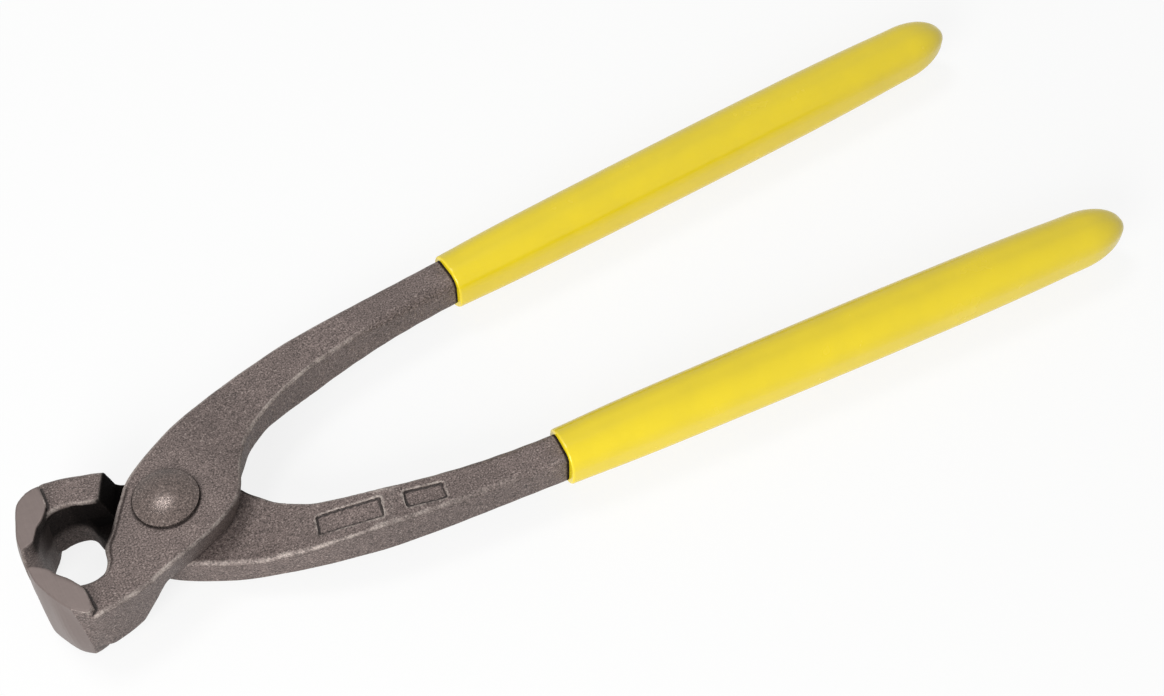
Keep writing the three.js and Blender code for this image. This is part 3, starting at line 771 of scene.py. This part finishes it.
def forged_steel(name, steel, ground, rough=0.56, pitted=0.7):
    """Hot-forged carbon steel, shot-blasted and darkened: a fine grey-brown grain without gloss,
    with painted glints, paler where edges are worn and along painted highlights, dark with
    painted shade in hollows and shut-in places, and smooth where it was ground."""
    material = bpy.data.materials.new(name)
    tree = empty_tree(material)
    place = add(tree, "ShaderNodeTexCoord").outputs["Object"]
    relief, polish, painted_shade_read = (
        add(tree, "ShaderNodeAttribute", attribute_name=label).outputs["Fac"]
        for label in ("relief", "ground", "painted_shade")
    )
    # The blasted grain, mottling of 3.5 mm, clouds of scale of 16 mm, and painted glints on
    # single grains.
    grain, mottle, clouds, bright = (
        add(tree, "ShaderNodeTexNoise", {
            "Vector": place, "Scale": 1 / (size * MM), "Detail": detail, "Roughness": ragged,
        }).outputs["Fac"]
        for size, detail, ragged in (
            (SHOT_MARK, 4.0, 0.72), (3.5, 4.0, 0.6), (16, 2.0, 0.5), (SHOT_MARK, 1.0, 0.5),
        )
    )
    shade = 1.0
    for wave, least, most, dim, pale in (
        (grain, 0.37, 0.64, 0.34, 1.8), (mottle, 0.3, 0.7, 0.88, 1.12),
        (clouds, 0.35, 0.65, 0.94, 1.07),
    ):
        spread = add(tree, "ShaderNodeMapRange", {
            "Value": wave, "From Min": least, "From Max": most, "To Min": dim, "To Max": pale,
        })
        shade = add(tree, "ShaderNodeMath", {
            0: shade, 1: spread.outputs["Result"],
        }, operation="MULTIPLY").outputs[0]
    colour = add(tree, "ShaderNodeVectorMath", {
        0: tuple(steel)[:3], "Scale": shade,
    }, operation="SCALE").outputs[0]
    # How much shows of the painted glints, of the worn edges with their painted highlights and of
    # the painted shade in hollows. A rounding of 1 mm has a relief of about 1, a flat none.
    glints, worn, hollow = (
        add(tree, "ShaderNodeMapRange", {
            "Value": value, "From Min": none, "From Max": full, "To Min": 0.0, "To Max": most,
        }).outputs["Result"]
        for value, none, full, most in (
            (bright, 0.65, 0.74, 0.5), (relief, 0.6, 1.25, 0.75), (relief, -0.15, -0.8, 0.85),
        )
    )
    for wave, least in ((grain, 0.45), (mottle, 0.2)):
        rub = add(tree, "ShaderNodeMapRange", {
            "Value": wave, "From Min": 0.38, "From Max": 0.6, "To Min": least, "To Max": 1.0,
        }).outputs["Result"]
        worn = add(tree, "ShaderNodeMath", {0: worn, 1: rub}, operation="MULTIPLY").outputs[0]
    # Painted shade: where it is marked, the steel turns near black, matt and without metal sheen.
    painted_shade_share = add(tree, "ShaderNodeMath", {0: painted_shade_read, 1: 0.97}, operation="MULTIPLY").outputs[0]
    for share, over in (
        (glints, GLINT), (worn, WORN_AND_LIT_EDGE), (hollow, HOLLOW_SHADE), (painted_shade_share, PAINTED_SHADE_BLACK),
    ):
        colour = add(tree, "ShaderNodeMix", {
            "Factor": share, "A": colour, "B": linear(over),
        }, data_type="RGBA").outputs["Result"]
    # Grinding marks: lines 0.3 mm apart, all one way.
    stretched = add(tree, "ShaderNodeMapping", {
        "Vector": place, "Scale": (1 / (0.3 * MM), 1 / (6 * MM), 1 / (0.5 * MM)),
        "Rotation": (0.0, 0.0, 0.6),
    }).outputs["Vector"]
    lines = add(tree, "ShaderNodeTexNoise", {
        "Vector": stretched, "Scale": 1.0, "Detail": 2.0, "Roughness": 0.5,
    }).outputs["Fac"]
    line_shade = add(tree, "ShaderNodeMapRange", {
        "Value": lines, "From Min": 0.3, "From Max": 0.7, "To Min": 0.965, "To Max": 1.035,
    })
    smooth = add(tree, "ShaderNodeVectorMath", {
        0: tuple(ground)[:3], "Scale": line_shade.outputs["Result"],
    }, operation="SCALE")
    colour = add(tree, "ShaderNodeMix", {
        "Factor": polish, "A": colour, "B": smooth.outputs[0],
    }, data_type="RGBA")
    gloss = add(tree, "ShaderNodeMapRange", {
        "Value": grain, "From Min": 0.3, "From Max": 0.7, "To Min": rough + 0.08,
        "To Max": rough - 0.08,
    }).outputs["Result"]
    for share, dull in ((polish, 0.45), (painted_shade_share, 0.9)):
        gloss = add(tree, "ShaderNodeMix", {
            "Factor": share, "A": gloss, "B": dull,
        }).outputs["Result"]
    bare, sheen = (
        add(tree, "ShaderNodeMapRange", {
            "Value": painted_shade_share, "To Min": clean, "To Max": covered,
        }).outputs["Result"]
        for clean, covered in ((0.35, 0.0), (0.4, 0.02))
    )
    faint = add(tree, "ShaderNodeMath", {0: lines, 1: 0.12}, operation="MULTIPLY").outputs[0]
    pits = add(tree, "ShaderNodeMix", {"Factor": polish, "A": grain, "B": faint})
    bump = add(tree, "ShaderNodeBump", {
        "Height": pits.outputs["Result"], "Strength": pitted, "Distance": 0.14 * MM,
    })
    broad_bump = add(tree, "ShaderNodeBump", {
        "Height": mottle, "Strength": 0.25, "Distance": 0.25 * MM, "Normal": bump.outputs[0],
    })
    shader = add(tree, "ShaderNodeBsdfPrincipled", {
        "Base Color": colour.outputs["Result"], "Metallic": bare, "Roughness": gloss,
        "Specular IOR Level": sheen, "Normal": broad_bump.outputs[0],
    })
    add(tree, "ShaderNodeOutputMaterial", {"Surface": shader.outputs[0]})
    return material


def dipped_vinyl(name, vinyl):
    """Dipped vinyl (plastisol): a glossy, slightly soft skin that levels out before it sets, so
    its surface waves gently over millimetres and its highlights are soft."""
    material = bpy.data.materials.new(name)
    tree = empty_tree(material)
    place = add(tree, "ShaderNodeTexCoord").outputs["Object"]
    # Clouds of 9 mm in its tint and gloss, and waves of 2.4 mm in its skin.
    cloud, skin = (
        add(tree, "ShaderNodeTexNoise", {
            "Vector": place, "Scale": 1 / (size * MM), "Detail": detail, "Roughness": ragged,
        }).outputs["Fac"]
        for size, detail, ragged in ((9, 3.0, 0.55), (2.4, 2.0, 0.5))
    )
    tint, rough = (
        add(tree, "ShaderNodeMapRange", {
            "Value": cloud, "From Min": 0.3, "From Max": 0.7, "To Min": low, "To Max": high,
        }).outputs["Result"]
        for low, high in ((0.965, 1.025), (0.21, 0.28))
    )
    colour = add(tree, "ShaderNodeVectorMath", {
        0: tuple(vinyl)[:3], "Scale": tint,
    }, operation="SCALE")
    bump = add(tree, "ShaderNodeBump", {
        "Height": skin, "Strength": 0.2, "Distance": 0.08 * MM,
    })
    shader = add(tree, "ShaderNodeBsdfPrincipled", {
        "Base Color": colour.outputs[0], "Metallic": 0.0, "IOR": 1.53,
        "Roughness": rough, "Normal": bump.outputs[0],
    })
    add(tree, "ShaderNodeOutputMaterial", {"Surface": shader.outputs[0]})
    return material


# Geometry Nodes


def grip_tree():
    """Sweeps a round-cornered section along a path whose radius is the size, and bores it."""
    tree = bpy.data.node_groups.new("dipped_grip", "GeometryNodeTree")
    socket = tree.interface.new_socket
    socket("Geometry", in_out="INPUT", socket_type="NodeSocketGeometry")
    for kind, names in (
        ("Float", ("Width", "Thickness", "Corner", "Bore Width", "Bore Thickness", "Bore Corner")),
        ("Vector", ("Bore Start", "Bore End", "Mouth End")), ("Float", ("Mouth Share",)),
        ("Int", ("Corner Steps",)), ("Material", ("Material",)),
    ):
        for name in names:
            socket(name, in_out="INPUT", socket_type="NodeSocket" + kind)
    socket("Geometry", in_out="OUTPUT", socket_type="NodeSocketGeometry")
    given = add(tree, "NodeGroupInput").outputs
    bore_line, mouth_line = (
        add(tree, "GeometryNodeCurvePrimitiveLine", {
            "Start": given["Bore Start"], "End": given[end],
        }).outputs[0]
        for end in ("Bore End", "Mouth End")
    )
    size = add(tree, "GeometryNodeInputRadius").outputs[0]
    bodies = []
    for path, prefix, scale in (
        (given["Geometry"], "", size), (bore_line, "Bore ", size),
        (mouth_line, "Bore ", given["Mouth Share"]),
    ):
        section = add(tree, "GeometryNodeCurvePrimitiveQuadrilateral", {
            "Width": given[prefix + "Width"], "Height": given[prefix + "Thickness"],
        })
        rounded = add(tree, "GeometryNodeFilletCurve", {
            "Curve": section.outputs[0], "Radius": given[prefix + "Corner"],
            "Count": given["Corner Steps"],
        }, mode="POLY")
        upright = add(tree, "GeometryNodeSetCurveNormal", {"Curve": path}, mode="Z_UP")
        swept = add(tree, "GeometryNodeCurveToMesh", {
            "Curve": upright.outputs[0], "Profile Curve": rounded.outputs[0],
            "Scale": scale, "Fill Caps": True,
        })
        bodies.append(swept.outputs[0])
    bored = add(tree, "GeometryNodeMeshBoolean", {"Mesh 1": bodies[0]}, operation="DIFFERENCE")
    for body in bodies[1:]:
        tree.links.new(body, bored.inputs["Mesh 2"])
    real = add(tree, "GeometryNodeRealizeInstances", {"Geometry": bored.outputs[0]})
    finished = add(tree, "GeometryNodeSetMaterial", {
        "Geometry": real.outputs[0], "Material": given["Material"],
    })
    add(tree, "NodeGroupOutput", {0: finished.outputs[0]})
    return tree


def set_inputs(modifier, values):
    """Sets a Geometry Nodes modifier's inputs by the names of its sockets."""
    for item in modifier.node_group.interface.items_tree:
        if item.item_type == "SOCKET" and item.in_out == "INPUT" and item.name in values:
            modifier[item.identifier] = values[item.name]


def grip_axis(x):
    """A point of the grip's axis, closed tool, mm."""
    share = (x - UPPER_MOUTH) / (GRIP_TIP - UPPER_MOUTH)
    return Vector((x, GRIP_OFFSET - GRIP_TOE_IN * share, 0))


def grip_path(mouth, sizes):
    """Places along the grip, mm, and its size there as a share of the greatest."""
    end = sizes.end_round / MM
    lip_turns = np.linspace(0, math.pi / 2, LIP_RINGS)
    body = np.linspace(mouth + LIP_LENGTH, GRIP_TIP - end, BODY_RINGS)[1:]
    turns = np.linspace(0, math.pi / 2, END_RINGS)[1:]
    places = np.concatenate([
        mouth + LIP_LENGTH - LIP_LENGTH * np.cos(lip_turns), body,
        GRIP_TIP - end + end * np.sin(turns),
    ])
    closing = np.concatenate([
        1 - LIP_SHARE * (1 - np.sin(lip_turns)), np.ones(len(body)),
        np.maximum(np.cos(turns), LEAST_SHARE),
    ])
    share = np.clip((places - UPPER_MOUTH) / (GRIP_TIP - UPPER_MOUTH), 0, 1)
    return places, closing * line_height(line_table(GRIP_SIZE_LINE), share * 100)


# Operators


class TYINGPLIERS_OT_levers(bpy.types.Operator):
    """Forges the two levers, upper and lower, from one form"""

    bl_idname = "tying_pliers.levers"
    bl_label = "Forged Levers"

    def execute(self, context):
        forging = context.scene.pliers_forging
        sizes = {
            "head": forging.head_thickness / 2 / MM,
            "nose": forging.nose_height / 2 / MM,
            "fillet": forging.forged_fillet / MM,
            "throat": forging.throat_fillet / MM,
            "wall": forging.wall_fillet / MM,
            "panel": forging.panel_depth / MM,
            "waves": forging.unevenness / MM,
        }
        step = forging.fineness / MM
        axes = [
            np.concatenate([
                np.arange(MESH_START, HEAD_END, step), np.arange(HEAD_END, NECK_END, 2 * step),
                MOUTH_PLACES, TANG_PLACES,
            ]),
            np.arange(*MESH_ACROSS, step),
            np.arange(*MESH_HEIGHT, step),
        ]
        material = forged_steel("blasted_forged_steel", forging.steel, forging.ground)
        for name, lower in (("upper_lever", False), ("lower_lever", True)):
            form = lever_form(sizes, lower)
            corners, faces = closed_surface(form, axes)
            mesh = bpy.data.meshes.new(name + "_forging")
            mesh.from_pydata(corners.tolist(), [], faces.tolist())
            for label, values in surface_marks(form, corners, sizes, lower).items():
                mesh.attributes.new(label, "FLOAT", "POINT").data.foreach_set("value", values)
            mesh.shade_smooth()
            mesh.normals_split_custom_set_from_vertices(slope_of(form, corners).tolist())
            made = place_mesh(name + "_forging", mesh, rest_matrix(lower), material)
            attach(made, "lower_handle" if lower else "upper_handle")
            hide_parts(name)
        return {"FINISHED"}


class TYINGPLIERS_OT_rivet(bpy.types.Operator):
    """Presses the pivot rivet: a shank with a low domed head at each end"""

    bl_idname = "tying_pliers.rivet"
    bl_label = "Pivot Rivet"

    def execute(self, context):
        rivet = context.scene.pliers_rivet
        head = rivet.head_diameter / 2 / MM
        shank = rivet.shank_diameter / 2 / MM
        top = (RIVET_HIGH.z - RIVET_LOW.z) / 2 / MM
        upper = [(0.0, shank), (HEAD_SEAT - SEAT_STEP, shank), (HEAD_SEAT, shank)]
        upper.append((HEAD_SEAT, head - UNDERCUT))
        for t in np.linspace(0.5, math.pi / 2, 4):
            rim = head - RIM_ROUND + RIM_ROUND * math.sin(t)
            upper.append((HEAD_RIM - RIM_ROUND * math.cos(t), rim))
        for share in np.linspace(0.985, 0.03, DOME_RINGS):
            rise = (top - HEAD_RIM) * (1 - share**DOME_POWER)
            upper.append((HEAD_RIM + rise, head * share))
        profile = [(-z, r) for z, r in reversed(upper)] + upper[1:]
        angle = np.arange(RIVET_AROUND) * 2 * math.pi / RIVET_AROUND
        corners = []
        for z, r in profile:
            reach = np.full(RIVET_AROUND, float(r))
            if abs(z) > HEAD_SEAT:
                dent = OUT_OF_ROUND * (np.sin(2 * angle + 0.6) + 0.6 * np.sin(3 * angle + z))
                reach += dent * r / head
            corners.append(np.stack([
                reach * np.cos(angle), reach * np.sin(angle), np.full(RIVET_AROUND, z),
            ], 1))
        rings = len(corners)
        corners = np.concatenate(corners + [np.array([[0, 0, -top], [0, 0, top]])])
        faces = []
        following = [(i, (i + 1) % RIVET_AROUND) for i in range(RIVET_AROUND)]
        for start in range(0, (rings - 1) * RIVET_AROUND, RIVET_AROUND):
            for i, j in following:
                a, b = start + i, start + j
                faces.append((a, b, b + RIVET_AROUND, a + RIVET_AROUND))
        low, last = rings * RIVET_AROUND, (rings - 1) * RIVET_AROUND
        for i, j in following:
            faces.append((low, j, i))
            faces.append((low + 1, last + i, last + j))
        mesh = bpy.data.meshes.new("pressed_rivet")
        mesh.from_pydata(corners.tolist(), [], faces)
        rim = np.hypot(corners[:, 0], corners[:, 1]) > head - RIVET_WEAR_WIDTH
        wear = RIVET_WEAR * rim
        mesh.attributes.new("relief", "FLOAT", "POINT").data.foreach_set("value", wear)
        mesh.attributes.new("ground", "FLOAT", "POINT")
        mesh.attributes.new("painted_shade", "FLOAT", "POINT")
        shade_by_angle(mesh, RIVET_SHARP)
        material = forged_steel(
            "pressed_rivet_steel", rivet.steel, rivet.steel, RIVET_ROUGH, RIVET_PITTED,
        )
        matrix = Matrix.Translation(PIVOT) @ Matrix.Scale(MM, 4)
        made = place_mesh("pressed_rivet", mesh, matrix, material)
        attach(made, "lower_handle")
        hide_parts("pivot_rivet")
        return {"FINISHED"}


class TYINGPLIERS_OT_grips(bpy.types.Operator):
    """Dips the two handles: a smooth grip swept along each, bored for its tang"""

    bl_idname = "tying_pliers.grips"
    bl_label = "Dipped Grips"

    def execute(self, context):
        grips = context.scene.pliers_grips
        material = dipped_vinyl("dipped_yellow_vinyl", grips.vinyl)
        tree = grip_tree()
        for name, lower, mouth in (
            ("upper_grip", False, UPPER_MOUTH), ("lower_grip", True, LOWER_MOUTH),
        ):
            matrix = rest_matrix(lower)
            places, shares = grip_path(mouth, grips)
            curve = bpy.data.curves.new(name + "_path", "CURVE")
            curve.dimensions = "3D"
            spline = curve.splines.new("POLY")
            spline.points.add(len(places) - 1)
            for point, x, share in zip(spline.points, places, shares):
                point.co = (*(matrix @ grip_axis(x)), 1)
                point.radius = share
            path = bpy.data.objects.new(name + "_path", curve)
            context.scene.collection.objects.link(path)
            modifier = path.modifiers.new("dip", "NODES")
            modifier.node_group = tree
            set_inputs(modifier, {
                "Width": grips.width, "Thickness": grips.thickness, "Corner": grips.corner,
                "Bore Width": BORE_SIZES[0], "Bore Thickness": BORE_SIZES[1],
                "Bore Corner": BORE_SIZES[2], "Corner Steps": grips.around,
                "Bore Start": matrix @ grip_axis(mouth - BORE_BEFORE),
                "Bore End": matrix @ grip_axis(BORE_END),
                "Mouth End": matrix @ grip_axis(mouth + MOUTH_DEPTH),
                "Mouth Share": MOUTH_SHARE, "Material": material,
            })
            evaluated = path.evaluated_get(context.evaluated_depsgraph_get())
            mesh = bpy.data.meshes.new_from_object(evaluated)
            bpy.data.objects.remove(path)
            mesh.name = name + "_vinyl"
            made = place_mesh(name + "_vinyl", mesh, Matrix.Identity(4), material)
            shade_by_angle(made.data, GRIP_SHARP)
            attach(made, "lower_handle" if lower else "upper_handle")
            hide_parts(name)
        return {"FINISHED"}


class TYINGPLIERS_OT_stage(bpy.types.Operator):
    """Sets the floor, the soft lights and the camera"""

    bl_idname = "tying_pliers.stage"
    bl_label = "Floor, Light and Camera"

    @staticmethod
    def background_rays(tree):
        """1 for the rays that show the background: seen straight, mirrored or through glass."""
        seen = add(tree, "ShaderNodeLightPath").outputs
        shown = seen["Is Camera Ray"]
        for kind in ("Is Glossy Ray", "Is Transmission Ray"):
            shown = add(tree, "ShaderNodeMath", {0: shown, 1: seen[kind]}, operation="MAXIMUM")
            shown = shown.outputs[0]
        return shown

    def execute(self, context):
        scene = context.scene
        stage = scene.pliers_stage
        scene.view_settings.view_transform = "Standard"
        floor = bpy.data.meshes.new("floor")
        around = ((-1, -1), (1, -1), (1, 1), (-1, 1))
        floor.from_pydata(
            [(x * FLOOR_HALF, y * FLOOR_HALF, 0) for x, y in around], [], [(0, 1, 2, 3)],
        )
        paper = bpy.data.materials.new("matt_white_paper")
        tree = empty_tree(paper)
        shown = self.background_rays(tree)
        lit = add(tree, "ShaderNodeBsdfDiffuse", {"Color": stage.floor})
        pale = add(tree, "ShaderNodeEmission", {"Color": WHITE, "Strength": 1.0})
        share = add(tree, "ShaderNodeMath", {0: shown, 1: FLOOR_WHITE}, operation="MULTIPLY")
        mix = add(tree, "ShaderNodeMixShader", {
            0: share.outputs[0], 1: lit.outputs[0], 2: pale.outputs[0],
        })
        add(tree, "ShaderNodeOutputMaterial", {"Surface": mix.outputs[0]})
        floor.materials.append(paper)
        ground = bpy.data.objects.new("floor", floor)
        scene.collection.objects.link(ground)
        world = bpy.data.worlds.new("studio")
        scene.world = world
        tree = empty_tree(world)
        shown = self.background_rays(tree)
        soft = add(tree, "ShaderNodeBackground", {"Color": linear(SKY), "Strength": SKY_STRENGTH})
        white = add(tree, "ShaderNodeBackground", {"Color": WHITE, "Strength": 1.0})
        mix = add(tree, "ShaderNodeMixShader", {
            0: shown, 1: soft.outputs[0], 2: white.outputs[0],
        })
        add(tree, "ShaderNodeOutputWorld", {"Surface": mix.outputs[0]})
        for name, (place, size), power in (
            ("key", KEY_LAMP, stage.key_power), ("fill", FILL_LAMP, stage.fill_power),
        ):
            light = bpy.data.lights.new(name, "AREA")
            light.size = size
            light.energy = power
            lamp = bpy.data.objects.new(name, light)
            lamp.location = place
            lamp.rotation_mode = "QUATERNION"
            lamp.rotation_quaternion = (LAMP_TARGET - Vector(place)).to_track_quat("-Z", "Y")
            scene.collection.objects.link(lamp)
        camera = bpy.data.cameras.new("camera")
        camera.lens = stage.lens
        camera.sensor_width = SENSOR_WIDTH
        camera.clip_start, camera.clip_end = 0.01, 10
        eye = bpy.data.objects.new("camera", camera)
        scene.collection.objects.link(eye)
        eye.location = CAMERA_EYE
        look = (CAMERA_TARGET - eye.location).to_track_quat("-Z", "Y").to_matrix()
        roll = Matrix.Rotation(math.radians(CAMERA_ROLL), 3, "Z")
        eye.rotation_mode = "QUATERNION"
        eye.rotation_quaternion = (look @ roll).to_quaternion()
        scene.camera = eye
        return {"FINISHED"}


class TYINGPLIERS_PT_parts(bpy.types.Panel):
    """Lists the pieces in the sidebar"""

    bl_idname = "TYINGPLIERS_PT_parts"
    bl_label = "Tying Pliers"
    bl_space_type = "VIEW_3D"
    bl_region_type = "UI"
    bl_category = "Tying Pliers"

    def draw(self, context):
        scene = context.scene
        for group, operator in GROUPS:
            box = self.layout.box()
            settings = getattr(scene, group)
            for name in settings.__annotations__:
                box.prop(settings, name)
            box.operator(operator)


GROUPS = (
    ("pliers_forging", "tying_pliers.levers"),
    ("pliers_rivet", "tying_pliers.rivet"),
    ("pliers_grips", "tying_pliers.grips"),
    ("pliers_stage", "tying_pliers.stage"),
)
SETTINGS = (PliersForging, PliersRivet, PliersGrips, PliersStage)
CLASSES = SETTINGS + (
    TYINGPLIERS_OT_levers,
    TYINGPLIERS_OT_rivet,
    TYINGPLIERS_OT_grips,
    TYINGPLIERS_OT_stage,
    TYINGPLIERS_PT_parts,
)


def register():
    for made in CLASSES:
        bpy.utils.register_class(made)
    for (group, _), settings in zip(GROUPS, SETTINGS):
        setattr(bpy.types.Scene, group, PointerProperty(type=settings))


def unregister():
    for group, _ in GROUPS:
        delattr(bpy.types.Scene, group)
    for made in reversed(CLASSES):
        bpy.utils.unregister_class(made)


def main():
    register()
    bpy.ops.tying_pliers.stage()
    bpy.ops.tying_pliers.levers()
    bpy.ops.tying_pliers.rivet()
    bpy.ops.tying_pliers.grips()
    bpy.context.view_layer.update()


if __name__ == "__main__":
    main()
